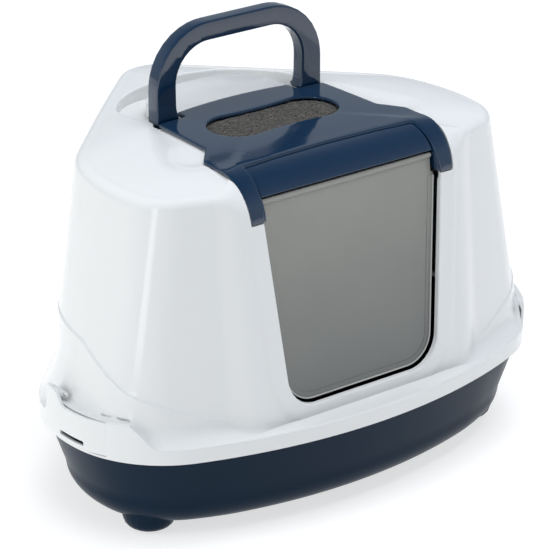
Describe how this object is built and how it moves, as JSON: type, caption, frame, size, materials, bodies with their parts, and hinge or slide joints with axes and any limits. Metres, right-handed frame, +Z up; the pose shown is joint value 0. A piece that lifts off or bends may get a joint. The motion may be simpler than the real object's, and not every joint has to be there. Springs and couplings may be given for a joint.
{
  "type": "hooded corner cat litter box",
  "caption": "Corner litter tray on feet with a clip-on hood, hinged top lid, swing door, folding carry handle, filter holder and side latches.",
  "frame": {"origin": "middle of the footprint, on the floor under the feet", "axes": "+Z up, the doorway faces -Y, +X along the wide front"},
  "size_m": [0.555, 0.455, 0.46],
  "materials": {
    "tray_plastic": "satin navy moulded plastic",
    "hood_plastic": "glossy white moulded plastic",
    "lid_plastic": "glossy navy moulded plastic",
    "handle_plastic": "glossy navy moulded plastic",
    "door_plastic": "smoked see-through plastic",
    "cage_plastic": "satin navy moulded plastic",
    "filter_felt": "needled charcoal felt",
    "latch_plastic": "glossy white moulded plastic"
  },
  "bodies": {
    "base": {"base_tray": "tray_plastic"},
    "hood": {"hood_shell": "hood_plastic"},
    "lid": {"flip_lid": "lid_plastic"},
    "handle": {"carry_handle": "handle_plastic"},
    "door": {"swing_door": "door_plastic"},
    "filter": {"filter_cage": "cage_plastic", "filter_pad": "filter_felt"},
    "latch_right": {"side_latch_right": "latch_plastic"},
    "latch_left": {"side_latch_left": "latch_plastic"}
  },
  "joints": [
    {"name": "hood_lift", "type": "slide", "parent": "base", "child": "hood", "axis": [0, 0, 1], "range_m": [0, 0.12]},
    {"name": "lid_flip", "type": "hinge", "parent": "hood", "child": "lid", "pos_m": [0, 0, 0.357], "axis": [-1, 0, 0], "range_deg": [0, 70]},
    {"name": "handle_fold", "type": "hinge", "parent": "hood", "child": "handle", "pos_m": [0, 0.0155, 0.354], "axis": [-1, 0, 0], "range_deg": [0, 90]},
    {"name": "door_swing", "type": "hinge", "parent": "lid", "child": "door", "pos_m": [0, -0.1665, 0.335], "axis": [1, 0, 0], "range_deg": [-75, 60]},
    {"name": "filter_drop", "type": "hinge", "parent": "lid", "child": "filter", "pos_m": [0, -0.011, 0.3586], "axis": [1, 0, 0], "range_deg": [0, 60]},
    {"name": "latch_right_open", "type": "hinge", "parent": "hood", "child": "latch_right", "pos_m": [0.2668, -0.055, 0.141], "axis": [0, -1, 0], "range_deg": [0, 35]},
    {"name": "latch_left_open", "type": "hinge", "parent": "hood", "child": "latch_left", "pos_m": [-0.2668, -0.055, 0.141], "axis": [0, 1, 0], "range_deg": [0, 35]}
  ]
}
